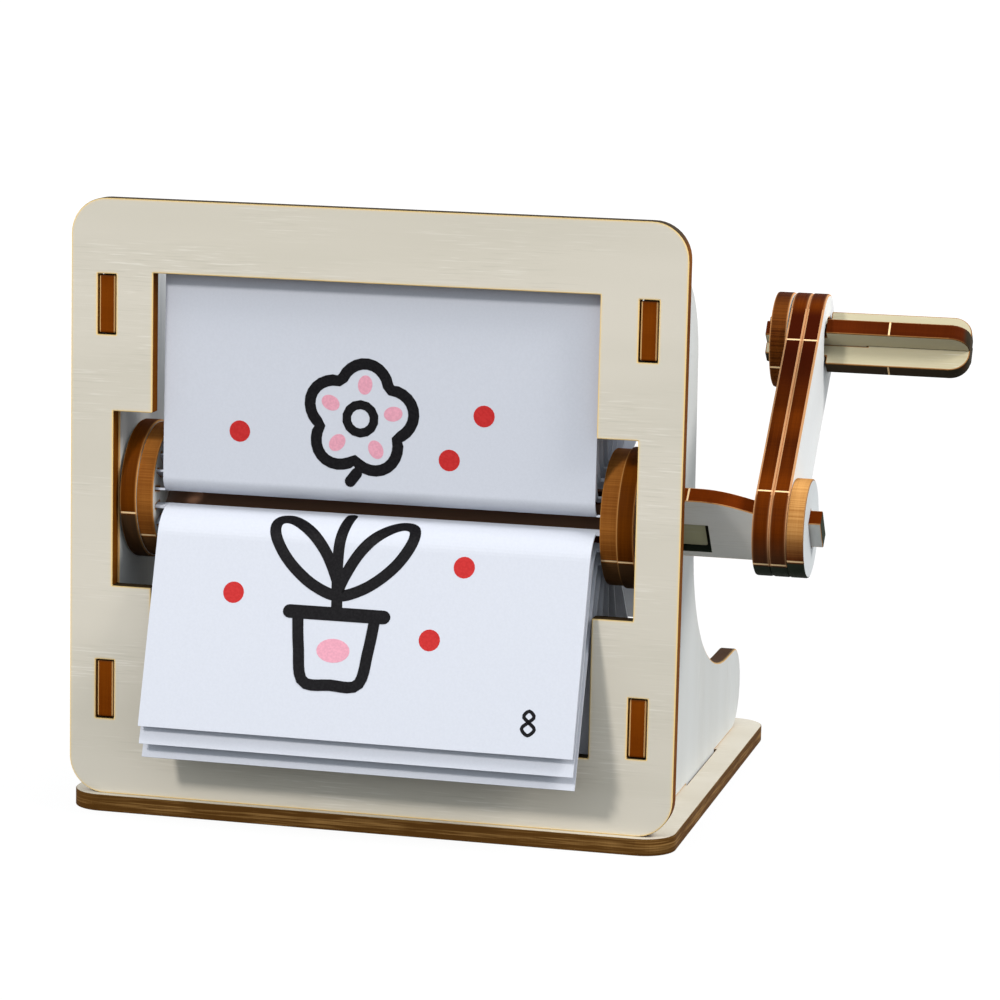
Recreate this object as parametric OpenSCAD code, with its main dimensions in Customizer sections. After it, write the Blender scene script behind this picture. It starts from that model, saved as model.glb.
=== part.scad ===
// Hand-cranked flip-book viewer, cut from flat plywood sheet.
// Origin: centre of the base's underside. +Z up, -Y towards the viewer, crank on +X.

/* [Sheet and cards] */
// Thickness of the plywood sheet
sheet_t = 3; // [2.6:0.1:3.6]
// Thickness of a paper card
card_t = 0.4; // [0.25:0.05:0.5]
// Clearance between the cards and the base as the drum turns
card_base_gap = 3.3; // [2:0.1:6]

/* [Base] */
// How far the base stands out past the front panel at each side
base_overhang = 0; // [0:0.5:10]
// Depth of the base
base_d = 100; // [90:1:130]
// Radius of the base's corners
base_corner_r = 6; // [2:0.5:10]

/* [Front panel] */
// Width of the front panel
panel_w = 110; // [104:1:120]
// Height of the front panel
panel_h = 106.6; // [102:0.2:120]
// Radius of the panel's corners
panel_corner_r = 6.5; // [2:0.5:9]
// Lip of the base that shows in front of the panel
panel_setback = 1.5; // [0.5:0.1:2.5]
// Height of the window
window_h = 80.5; // [76:0.5:84]
// Height of the notches beside the drum's discs
notch_h = 31.2; // [27:0.2:40]
// Height of the side panels' tenons
tenon_h = 10.2; // [7:0.2:12]
// Distance from the axle's height to the middle of a tenon
tenon_rise = 34.45; // [30:0.05:36]

/* [Side panels] */
// From the front panel's edge to a side panel's outer face
side_inset = 5.1; // [3:0.1:8]
// Height of a side panel above the base
side_h = 95; // [88:0.5:100]
// Depth of a side panel at its top
side_top_d = 36.5; // [33:0.5:44]
// Radius of a side panel's upper back corner
side_corner_r = 17; // [8:0.5:24]
// Depth of a side panel at the start of its sweep
side_waist_d = 38; // [34:0.5:46]
// Margin of the base behind a side panel's foot
foot_margin = 2.5; // [1:0.5:12]
// Height of a side panel's foot
foot_h = 16; // [12:0.5:20]

/* [Axle] */
// Height of the axle above the base's underside
axle_h = 56.5; // [55:0.1:59]
// Distance of the axle behind the front panel's front face
axle_setback = 14; // [13.6:0.1:16]
// Width of the axle's plates inside the bearings and the drum
axle_w = 10; // [8:0.2:11]
// Width of the axle plate's shoulder outside the right side panel
shoulder_w = 15.4; // [13:0.2:17]
// Height of the plug's slot in the shoulder
key_w = 7.2; // [5:0.2:8]
// Distance of the plug's slot from the shoulder's back edge
key_margin = 1.6; // [1.2:0.1:5]
// Width of the axle plate's end tenon
crank_tenon_w = 6.4; // [5:0.2:8]

/* [Drum] */
// Radius of the cap discs
outer_disc_r = 12.4; // [12.2:0.1:12.8]
// Radius of the slotted discs
inner_disc_r = 12; // [11.6:0.1:12.2]
// Distance from the axle to the inner edge of a card
card_root_r = 8.2; // [8:0.1:8.6]
// Width of the ears that a card is held by
ear_w = 2.2; // [1.6:0.1:2.4]

/* [Crank and handle] */
// Angle of the crank behind upright, in degrees
crank_angle = 48; // [0:1:359]
// Angle of the handle's plates behind upright, in degrees
handle_angle = 38; // [0:1:89]
// Distance from the axle to the handle's axis
crank_reach = 43; // [30:0.5:44]
// Radius of the crank arm's ends and of the washers
arm_end_r = 8.6; // [7.5:0.1:10]
// Length of the axle between the right side panel and the crank arm
shoulder_len = 16; // [12:0.5:24]
// Length of the handle's grip
grip_len = 25.5; // [15:0.5:40]
// Width of the grip's plates
grip_w = 11; // [9:0.2:14]
// Radius of the grip's outer corners
grip_corner_r = 3.5; // [1:0.1:4.4]
// Width of the handle's plates where they turn in the arm
journal_w = 7.8; // [6:0.2:8.4]

/* [Clearances] */
// Running clearance of the axle and of the handle in their holes
running_gap = 0.08; // [0.04:0.01:0.1]
// Clearance of a push fit between two plates, on each side
push_gap = 0.05; // [0.03:0.01:0.1]
// Clearance of the side panels' tenons and tabs, on each side
slot_gap = 0.22; // [0.1:0.02:0.3]
// Side play between the drum and the side panels
drum_gap = 0.5; // [0.3:0.1:1]
// Side play of the axle's shoulder, the washers and the handle
end_gap = 0.3; // [0.2:0.05:0.5]
// Gap between a card and the slotted discs, on each side of a centred card
card_side_gap = 1.4; // [0.7:0.1:1.8]
// Gap between a card's side and the window's edge, on each side of a centred card
card_window_gap = 0.9; // [0.6:0.1:1.3]
// Side play of the cards, all of it taken up toward the crank
card_play = 0.4; // [0:0.1:0.5]
// Gap between the panel's back and the card caught behind its top bar
card_catch_gap = 0.35; // [0.3:0.05:0.6]

/* [Hidden] */
$fn = 96;
tiny = 0.01;
overlap = 1;
card_count = 20;
card_pitch = 360 / card_count;

// Sizes that follow from others
base_w = panel_w + 2 * base_overhang;
foot_d = base_d - panel_setback - sheet_t - foot_margin;
card_reach = axle_h - sheet_t - card_base_gap;

// Places across the width, from the middle outwards
side_out_x = panel_w / 2 - side_inset;
side_in_x = side_out_x - sheet_t;
disc_out_x = side_in_x - drum_gap;
disc_mid_x = disc_out_x - sheet_t;
disc_in_x = disc_mid_x - sheet_t;
card_w = 2 * (disc_in_x - card_side_gap);
window_w = card_w + 2 * card_window_gap;
notch_w = 2 * (side_in_x + slot_gap);

// Places along the depth and the height
panel_front_y = panel_setback - base_d / 2;
panel_back_y = panel_front_y + sheet_t;
axle_y = panel_front_y + axle_setback;

// Front tenons and bottom tabs of the side panels
tenon_recess = 0.3;
tabs = [[7, 18], [37, 29]];
tab_end_gap = 1.2;

// Axle, from its left end to its right end
shoulder_x = side_out_x + end_gap;
arm_x = shoulder_x + shoulder_len;
washer_x = arm_x + 2 * sheet_t;
axle_end_x = washer_x + sheet_t + 2.1;
left_washer_x = -shoulder_x;
axle_left_x = left_washer_x - sheet_t - 1.5;
left_tenon_w = axle_w - 1;
cross_right_x = side_out_x;
lap_w = sheet_t + 2 * push_gap;
shoulder_shift = 0.3;
key_len = 6.8;
key_recess = 0.9;
key_x = shoulder_x + 0.3;
key_y = shoulder_shift + shoulder_w / 2 - key_margin - key_w / 2;
key_gap = 0.3;
key_corner_r = 0.8;
bearing_r = sqrt(pow(axle_w / 2, 2) + pow(sheet_t / 2, 2)) + running_gap;

// Handle
grip_x = washer_x + end_gap;
grip_end_x = grip_x + grip_len;
handle_washer_x = arm_x - end_gap - sheet_t;
journal_x = handle_washer_x - 1.5;
journal_r = sqrt(pow(journal_w / 2, 2) + pow(sheet_t / 2, 2)) + running_gap;
handle_lap_x = (journal_x + grip_end_x) / 2;

// Cards. A card's angle is counted from the front (-Y) upwards.
first_card_angle = card_pitch / 2;
held_count = 4;        // cards held upright behind the window's top bar
hanging_count = 3;     // cards that have flipped and hang in front
held_spacing = 0.7;
held_lean = 1;
hang_angle = 73;
hang_fan = 1.5;        // each card behind the front one hangs less steeply
hang_bend = 7;
rear_sag = 6;          // a free card behind the axle sinks at most this much
trailing_gap = 1.2;    // card drawn back behind the window's sill
root_straight = 1;     // straight stretch beside the discs
free_len = card_reach - card_root_r - root_straight;
ear_slot_gap = 0.15;
ear_end_gap = 0.2 + card_play;
ear_inset = 0.05;
card_steps = 14;

function card_name(i) = str("flip_card_", i < 9 ? "0" : "", i + 1);

ply = "#d9cfb8";
ply_side = "#c9c4b6";
drum_ply = "#b98d52";
crank_ply = "#c49a5e";
key_ply = "#e6dcc2";
paper = "#eef0f6";

// ---- helpers ----------------------------------------------------------

// A sheet standing across the width: outline in (y, z), from x0 towards +X
module sheet_x(x0, t = sheet_t) {
    translate([x0, 0, 0]) rotate([90, 0, 90]) linear_extrude(t) children();
}

module rounded_rect(w, h, r) {
    hull_r = min(r, w / 2, h / 2);
    union() {
        square([w - 2 * hull_r, h], center = true);
        square([w, h - 2 * hull_r], center = true);
        for (sx = [-1, 1], sy = [-1, 1])
            translate([sx * (w / 2 - hull_r), sy * (h / 2 - hull_r)]) circle(hull_r);
    }
}

// The axle's frame: X along the axle, Z along the crank arm
module on_axle() {
    translate([0, axle_y, axle_h]) rotate([-crank_angle, 0, 0]) children();
}

// The handle's frame: X along the handle, Z along its first plate
module on_handle() {
    translate([0, axle_y + crank_reach * sin(crank_angle), axle_h + crank_reach * cos(crank_angle)])
        rotate([-handle_angle, 0, 0]) children();
}

// A plate lying in the axle's or the handle's XY plane: outline in (x, y)
module flat_plate() {
    translate([0, 0, -sheet_t / 2]) linear_extrude(sheet_t) children();
}

function bezier(p0, p1, p2, p3, t) =
    pow(1 - t, 3) * p0 + 3 * t * pow(1 - t, 2) * p1 + 3 * t * t * (1 - t) * p2 + pow(t, 3) * p3;

function arc(c, r, a0, a1, steps = 16) =
    [for (i = [0 : steps]) let (a = a0 + (a1 - a0) * i / steps) c + r * [cos(a), sin(a)]];

// ---- fixed frame ------------------------------------------------------

module base_plate() {
    color(ply) difference() {
        linear_extrude(sheet_t) rounded_rect(base_w, base_d, base_corner_r);
        for (s = [-1, 1], tab = tabs)
            translate([
                s * (side_out_x - sheet_t / 2) - sheet_t / 2 - slot_gap,
                panel_back_y + tab[0] - slot_gap,
                -1
            ])
                cube([sheet_t + 2 * slot_gap, tab[1] + slot_gap + tab_end_gap, sheet_t + 2]);
    }
}

module window_outline() {
    union() {
        square([window_w, window_h], center = true);
        square([notch_w, notch_h], center = true);
    }
}

module front_panel() {
    color(ply) translate([0, panel_back_y, 0]) rotate([90, 0, 0]) linear_extrude(sheet_t) difference() {
        translate([0, sheet_t + panel_h / 2]) rounded_rect(panel_w, panel_h, panel_corner_r);
        translate([0, axle_h]) window_outline();
        for (sx = [-1, 1], sz = [-1, 1])
            translate([sx * (side_out_x - sheet_t / 2), axle_h + sz * tenon_rise])
                square([sheet_t + 2 * slot_gap, tenon_h + 2 * slot_gap], center = true);
    }
}

// Outline of a side panel, in (depth behind the front panel, height above the base)
function side_outline() =
    let (
        sweep_top = side_h * 0.455,
        nose_r = foot_h / 2,
        nose_y = foot_d - nose_r,
        ledge_y = nose_y - nose_r
    )
    concat(
        [[0, 0]],
        arc([nose_y, nose_r], nose_r, -90, 90, 24),
        [for (i = [0 : 20])
            bezier([ledge_y, foot_h], [side_waist_d + 0.38 * (ledge_y - side_waist_d), foot_h],
                [side_waist_d + 1, sweep_top * 0.72], [side_waist_d, sweep_top], i / 20)],
        arc([side_top_d - side_corner_r, side_h - side_corner_r], side_corner_r, 0, 90),
        [[0, side_h]]
    );

module side_panel(x0) {
    color(ply_side) difference() {
        sheet_x(x0) union() {
            translate([panel_back_y, sheet_t]) polygon(side_outline());
            for (sz = [-1, 1])
                translate([panel_back_y - sheet_t + tenon_recess, axle_h + sz * tenon_rise - tenon_h / 2])
                    square([sheet_t - tenon_recess + overlap, tenon_h]);
            for (tab = tabs)
                translate([panel_back_y + tab[0], 0]) square([tab[1], sheet_t + overlap]);
        }
        translate([x0 - 1, axle_y, axle_h]) rotate([0, 90, 0]) cylinder(h = sheet_t + 2, r = bearing_r);
    }
}

module left_side_panel() { side_panel(-side_out_x); }
module right_side_panel() { side_panel(side_in_x); }

// ---- drum -------------------------------------------------------------

// The cross that the axle's two plates make, as cut through a disc or a washer
module cross_slot(w) {
    for (a = [0, 90])
        rotate(a) square([w + 2 * push_gap, sheet_t + 2 * push_gap], center = true);
}

// Outline of the shoulder: full width on one side, swept in towards the arm on the other
function shoulder_outline() =
    let (
        front = shoulder_shift - shoulder_w / 2,
        back = shoulder_shift + shoulder_w / 2,
        neck = front * 0.66,
        run = arm_x - shoulder_x
    )
    concat(
        [[shoulder_x, front], [shoulder_x + run * 0.35, front]],
        [for (i = [1 : 12])
            bezier([shoulder_x + run * 0.35, front], [shoulder_x + run * 0.62, front],
                [shoulder_x + run * 0.8, (front + neck) / 2], [arm_x, neck], i / 12)],
        [[arm_x, back], [shoulder_x, back]]
    );

module axle_plate() {
    color(drum_ply) on_axle() flat_plate() difference() {
        union() {
            translate([axle_left_x, -left_tenon_w / 2])
                square([left_washer_x - axle_left_x + tiny, left_tenon_w]);
            translate([left_washer_x, -axle_w / 2])
                square([shoulder_x - left_washer_x + tiny, axle_w]);
            polygon(shoulder_outline());
            translate([arm_x - tiny, -crank_tenon_w / 2])
                square([axle_end_x - arm_x + tiny, crank_tenon_w]);
        }
        translate([axle_left_x - 1, -lap_w / 2]) square([1 - axle_left_x, lap_w]);
        translate([key_x, key_y - key_w / 2]) square([key_len, key_w]);
    }
}

module axle_cross_plate() {
    color(drum_ply) on_axle() rotate([90, 0, 0]) flat_plate() difference() {
        union() {
            translate([axle_left_x, -left_tenon_w / 2])
                square([left_washer_x - axle_left_x + tiny, left_tenon_w]);
            translate([left_washer_x, -axle_w / 2])
                square([cross_right_x - left_washer_x, axle_w]);
        }
        translate([0, -lap_w / 2]) square([cross_right_x + 1, lap_w]);
    }
}

module axle_key() {
    color(key_ply) on_axle() translate([key_x + key_len / 2, key_y, -sheet_t / 2 + key_recess])
        linear_extrude(sheet_t - 2 * key_recess)
            rounded_rect(key_len - 2 * key_gap, key_w - 2 * key_gap, key_corner_r);
}

module inner_disc(x0) {
    color(drum_ply) difference() {
        translate([x0, axle_y, axle_h]) rotate([0, 90, 0]) cylinder(h = sheet_t, r = inner_disc_r);
        on_axle() sheet_x(x0 - 1, sheet_t + 2) cross_slot(axle_w);
        for (i = [0 : card_count - 1])
            translate([x0 - 1, axle_y, axle_h]) rotate([180 - card_angle(i), 0, 0])
                translate([0, card_root_r - ear_slot_gap, -card_t / 2 - ear_slot_gap])
                    cube([sheet_t + 2, ear_w + 2 * ear_slot_gap, card_t + 2 * ear_slot_gap]);
    }
}

module outer_disc(x0) {
    color(drum_ply) difference() {
        translate([x0, axle_y, axle_h]) rotate([0, 90, 0]) cylinder(h = sheet_t, r = outer_disc_r);
        on_axle() sheet_x(x0 - 1, sheet_t + 2) cross_slot(axle_w);
    }
}

module left_inner_disc() { inner_disc(-disc_mid_x); }
module right_inner_disc() { inner_disc(disc_in_x); }
module left_outer_disc() { outer_disc(-disc_out_x); }
module right_outer_disc() { outer_disc(disc_mid_x); }

module left_end_washer() {
    color(drum_ply) on_axle() difference() {
        translate([left_washer_x - sheet_t, 0, 0]) rotate([0, 90, 0]) cylinder(h = sheet_t, r = arm_end_r);
        sheet_x(left_washer_x - sheet_t - 1, sheet_t + 2) cross_slot(left_tenon_w);
    }
}

// ---- crank ------------------------------------------------------------

module arm_outline() {
    union() {
        circle(arm_end_r);
        translate([0, crank_reach]) circle(arm_end_r);
        translate([-arm_end_r, 0]) square([2 * arm_end_r, crank_reach]);
    }
}

module tenon_slot() {
    square([crank_tenon_w + 2 * push_gap, sheet_t + 2 * push_gap], center = true);
}

module crank_arm(x0) {
    color(crank_ply) on_axle() difference() {
        sheet_x(x0) difference() {
            arm_outline();
            tenon_slot();
        }
        translate([x0 - 1, 0, crank_reach]) rotate([0, 90, 0]) cylinder(h = sheet_t + 2, r = journal_r);
    }
}

module crank_arm_inner() { crank_arm(arm_x); }
module crank_arm_outer() { crank_arm(arm_x + sheet_t); }

module crank_washer() {
    color(crank_ply) on_axle() difference() {
        translate([washer_x, 0, 0]) rotate([0, 90, 0]) cylinder(h = sheet_t, r = arm_end_r);
        sheet_x(washer_x - 1, sheet_t + 2) tenon_slot();
    }
}

// ---- handle -----------------------------------------------------------

// Outline of a handle plate, in (x, half width): journal, then the grip with rounded outer corners
module handle_outline() {
    union() {
        translate([journal_x, -journal_w / 2]) square([grip_x - journal_x + tiny, journal_w]);
        translate([grip_x, -grip_w / 2]) square([grip_len - grip_corner_r, grip_w]);
        translate([grip_end_x - grip_corner_r - tiny, grip_corner_r - grip_w / 2])
            square([grip_corner_r + tiny, grip_w - 2 * grip_corner_r]);
        for (s = [-1, 1])
            translate([grip_end_x - grip_corner_r, s * (grip_w / 2 - grip_corner_r)]) circle(grip_corner_r);
    }
}

module handle_plate() {
    color(crank_ply) on_handle() rotate([90, 0, 0]) flat_plate() difference() {
        handle_outline();
        translate([journal_x - 1, -lap_w / 2]) square([handle_lap_x - journal_x + 1, lap_w]);
    }
}

module handle_cross_plate() {
    color(crank_ply) on_handle() flat_plate() difference() {
        handle_outline();
        translate([handle_lap_x, -lap_w / 2]) square([grip_end_x - handle_lap_x + 1, lap_w]);
    }
}

module handle_washer() {
    color(crank_ply) on_handle() difference() {
        translate([handle_washer_x, 0, 0]) rotate([0, 90, 0]) cylinder(h = sheet_t, r = arm_end_r);
        sheet_x(handle_washer_x - 1, sheet_t + 2) cross_slot(journal_w);
    }
}

// ---- cards ------------------------------------------------------------

function card_angle(i) = first_card_angle + i * card_pitch;
function towards(a) = [-cos(a), sin(a)];
function card_root(i) =
    [axle_y, axle_h] + (card_root_r + root_straight) * towards(card_angle(i));

// Length of the bend that brings a card to the line y0 while it turns from angle a to angle b
function bend_to(i, y0, a, b) =
    (card_root(i)[0] - y0) * (b - a) * PI / 180 / (sin(b) - sin(a));

function is_held(i) = i < held_count;
function is_hanging(i) = i >= card_count - hanging_count;
function is_trailing(i) = i == card_count - hanging_count - 1;

held_y = panel_back_y + card_catch_gap + card_t / 2;

// Start angle, end angle and bend length of a card's centre line
function card_bend(i) =
    is_held(i) ? let (a = card_angle(i), b = 90 + held_lean,
        y0 = held_y + i * held_spacing - (free_len - i * 4) * sin(held_lean) - 0.1)
            [a, b, bend_to(i, y0, a, b)] :
    is_hanging(i) ? [card_angle(i) - 360, (card_count - 1 - i) * hang_fan - hang_angle, hang_bend] :
    is_trailing(i) ? let (a = card_angle(i) - 360, b = -90)
            [a, b, bend_to(i, panel_back_y + trailing_gap, -a, -b)] :
    [card_angle(i), card_angle(i) + rear_sag * max(0, -cos(card_angle(i))), 2];

function bend_angle(b, s) = b[0] + (b[1] - b[0]) * min(1, s / b[2]);

// Centre line of a card from its root outwards, in (y, z)
function card_line(i, b, s = 0, p = undef) =
    let (
        step = s < b[2] - tiny ? b[2] / card_steps : free_len - s,
        here = is_undef(p) ? card_root(i) : p,
        next = here + step * towards(bend_angle(b, s + step / 2))
    )
    s > free_len - tiny ? [here] : concat([here], card_line(i, b, s + step, next));

// The two faces of a card, half its thickness to either side of the centre line
function card_outline(i) =
    let (
        bend = card_bend(i),
        root = [axle_y, axle_h] + card_root_r * towards(card_angle(i)),
        line = concat([root], card_line(i, bend)),
        n = len(line) - 1,
        side = [for (k = [0 : n])
            let (d = line[min(k + 1, n)] - line[max(k - 1, 0)])
                card_t / 2 * [-d[1], d[0]] / norm(d)]
    )
    concat([for (k = [0 : n]) line[k] + side[k]], [for (k = [n : -1 : 0]) line[k] - side[k]]);

// The two ears and the strip that joins them along the card's root
module ears_outline() {
    end_x = disc_mid_x - ear_end_gap;
    ear_x = card_w / 2 + ear_inset;
    ear_r = card_root_r + ear_w;
    root_r = card_root_r + ear_inset;
    strip_r = card_root_r + root_straight - ear_inset;
    polygon([
        [-end_x, root_r], [end_x, root_r], [end_x, ear_r], [ear_x, ear_r],
        [ear_x, strip_r], [-ear_x, strip_r], [-ear_x, ear_r], [-end_x, ear_r]
    ]);
}

module flip_card(i) {
    ear_t = card_t * 0.9;
    color(paper) translate([card_play, 0, 0]) union() {
        sheet_x(-card_w / 2, card_w) polygon(card_outline(i));
        translate([0, axle_y, axle_h]) rotate([180 - card_angle(i), 0, 0])
            translate([0, 0, -ear_t / 2]) linear_extrude(ear_t) ears_outline();
    }
}

// ---- nodes ------------------------------------------------------------

base_plate();
front_panel();
left_side_panel();
right_side_panel();
axle_plate();
axle_cross_plate();
axle_key();
left_inner_disc();
right_inner_disc();
left_outer_disc();
right_outer_disc();
left_end_washer();
crank_arm_inner();
crank_arm_outer();
crank_washer();
handle_plate();
handle_cross_plate();
handle_washer();
for (i = [0 : card_count - 1])
    flip_card(i);
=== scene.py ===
import math

import bmesh
import bpy
from mathutils import Matrix, Vector


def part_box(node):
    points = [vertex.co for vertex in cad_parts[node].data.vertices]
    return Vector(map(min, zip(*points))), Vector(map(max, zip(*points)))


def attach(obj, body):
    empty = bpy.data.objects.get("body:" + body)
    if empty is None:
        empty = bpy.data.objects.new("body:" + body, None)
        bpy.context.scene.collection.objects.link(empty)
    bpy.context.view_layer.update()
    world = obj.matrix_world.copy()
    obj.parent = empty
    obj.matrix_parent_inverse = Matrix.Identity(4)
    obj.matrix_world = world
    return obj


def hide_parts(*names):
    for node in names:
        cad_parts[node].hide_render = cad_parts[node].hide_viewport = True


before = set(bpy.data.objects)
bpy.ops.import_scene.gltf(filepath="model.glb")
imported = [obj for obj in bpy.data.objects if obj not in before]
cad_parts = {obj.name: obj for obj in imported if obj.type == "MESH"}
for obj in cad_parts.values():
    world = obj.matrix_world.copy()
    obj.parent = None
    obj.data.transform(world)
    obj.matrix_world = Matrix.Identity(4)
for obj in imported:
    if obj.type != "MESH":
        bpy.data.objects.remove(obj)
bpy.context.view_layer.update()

mm = 0.001

# Places shared by several pieces, the same as in the part's source
axle = {"y": -34.5 * mm, "z": 56.5 * mm, "crankAngle": 48, "handleAngle": 38}
panelBackY = -45.5 * mm


# Small helpers for nodes

def feed(tree, socket, value):
    if isinstance(value, bpy.types.NodeSocket):
        tree.links.new(value, socket)
    elif value is not None:
        socket.default_value = value


def mathNode(tree, operation, a, b=None, clamp=False):
    node = tree.nodes.new("ShaderNodeMath")
    node.operation = operation
    node.use_clamp = clamp
    for socket, value in zip(node.inputs, (a, b)):
        feed(tree, socket, value)
    return node.outputs[0]


def vectorNode(tree, operation, a, b=None):
    node = tree.nodes.new("ShaderNodeVectorMath")
    node.operation = operation
    feed(tree, node.inputs[0], a)
    feed(tree, node.inputs[1], b)
    return node.outputs["Value" if operation in ("DOT_PRODUCT", "LENGTH") else "Vector"]


def scaleVector(tree, vector, factor):
    node = tree.nodes.new("ShaderNodeVectorMath")
    node.operation = "SCALE"
    feed(tree, node.inputs[0], vector)
    feed(tree, node.inputs["Scale"], factor)
    return node.outputs["Vector"]


def combine(tree, x, y, z):
    node = tree.nodes.new("ShaderNodeCombineXYZ")
    for socket, value in zip(node.inputs, (x, y, z)):
        feed(tree, socket, value)
    return node.outputs[0]


def textureSpace(tree, label):
    return tree.nodes.new("ShaderNodeTexCoord").outputs[label]


def noise(tree, vector, scale, detail=2.0, roughness=0.5):
    node = tree.nodes.new("ShaderNodeTexNoise")
    feed(tree, node.inputs["Vector"], vector)
    feed(tree, node.inputs["Scale"], scale)
    feed(tree, node.inputs["Detail"], detail)
    feed(tree, node.inputs["Roughness"], roughness)
    return node.outputs[0]


def ramp(tree, value, low, high, toLow=0.0, toHigh=1.0):
    node = tree.nodes.new("ShaderNodeMapRange")
    node.interpolation_type = "SMOOTHSTEP"
    for label, number in (("Value", value), ("From Min", low), ("From Max", high),
                          ("To Min", toLow), ("To Max", toHigh)):
        feed(tree, node.inputs[label], number)
    return node.outputs[0]


def mixColor(tree, factor, a, b, blend="MIX"):
    node = tree.nodes.new("ShaderNodeMix")
    node.data_type = "RGBA"
    node.blend_type = blend
    feed(tree, node.inputs[0], factor)
    feed(tree, node.inputs[6], a)
    feed(tree, node.inputs[7], b)
    return node.outputs[2]


def newGroup(name, inputs, outputs):
    tree = bpy.data.node_groups.new(name, "ShaderNodeTree")
    for label, kind, value in inputs:
        socket = tree.interface.new_socket(name=label, in_out="INPUT", socket_type="NodeSocket" + kind)
        socket.default_value = value
    for label, kind in outputs:
        tree.interface.new_socket(name=label, in_out="OUTPUT", socket_type="NodeSocket" + kind)
    return tree, tree.nodes.new("NodeGroupInput").outputs, tree.nodes.new("NodeGroupOutput").inputs


def placeGroup(tree, group, values):
    node = tree.nodes.new("ShaderNodeGroup")
    node.node_tree = group
    for label, value in values.items():
        feed(tree, node.inputs[label], value)
    return node.outputs


def rgb(r, g, b):
    def linear(c):
        c /= 255
        return c / 12.92 if c <= 0.04045 else ((c + 0.055) / 1.055) ** 2.4
    return (linear(r), linear(g), linear(b), 1.0)


def addObject(name, data):
    added = bpy.data.objects.new(name, data)
    bpy.context.collection.objects.link(added)
    return added


def meshObject(name, mesh):
    data = bpy.data.meshes.new(name)
    mesh.to_mesh(data)
    mesh.free()
    return addObject(name, data)


def newMaterial(name):
    material = bpy.data.materials.new(name)
    material.use_nodes = True
    tree = material.node_tree
    return material, tree, tree.nodes["Principled BSDF"]


def makeTabLine():
    # a thin pale line where a piece was held in its sheet while it was cut
    tree, given, out = newGroup(
        "tabLine",
        [("Direction", "Vector", (1, 0, 0)), ("Offset", "Float", 0.0), ("Width", "Float", 0.3 * mm)],
        [("Mask", "Float")])
    along = vectorNode(tree, "DOT_PRODUCT", textureSpace(tree, "Object"), given["Direction"])
    away = mathNode(tree, "ABSOLUTE", mathNode(tree, "SUBTRACT", along, given["Offset"]))
    feed(tree, out["Mask"], ramp(tree, mathNode(tree, "DIVIDE", away, given["Width"]), 0.45, 0.6, 1.0, 0.0))
    return tree


# noise scales along and across the grain, and the colours that all the plywood shares
wood = {
    "streaks": (150.0, 3300.0),
    "clusters": (28.0, 110.0),
    "bands": (9.0, 60.0),
    "striations": 4200.0,
    "smoulder": 70.0,
    "threads": (110.0, 4200.0),
    "core": (0.42 * mm, 0.56 * mm),   # half the inner layer's thickness, and where the outer ones begin
    "paleStreak": rgb(240, 236, 228),
    "tab": rgb(240, 204, 154),
    # painted shade: a brown tint multiplied into cut edges above a tab
    "smoke": rgb(138, 92, 62),
    # painted shade: a dark green-black for cut edges that face down or lie in shade
    "scorch": rgb(40, 46, 36),
    # a dark colour for cut edges that face up
    "soot": rgb(34, 34, 24),
    # painted shade: a brown multiplied into the axle between the discs
    "betweenDiscsShade": rgb(138, 102, 82),
}


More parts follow.
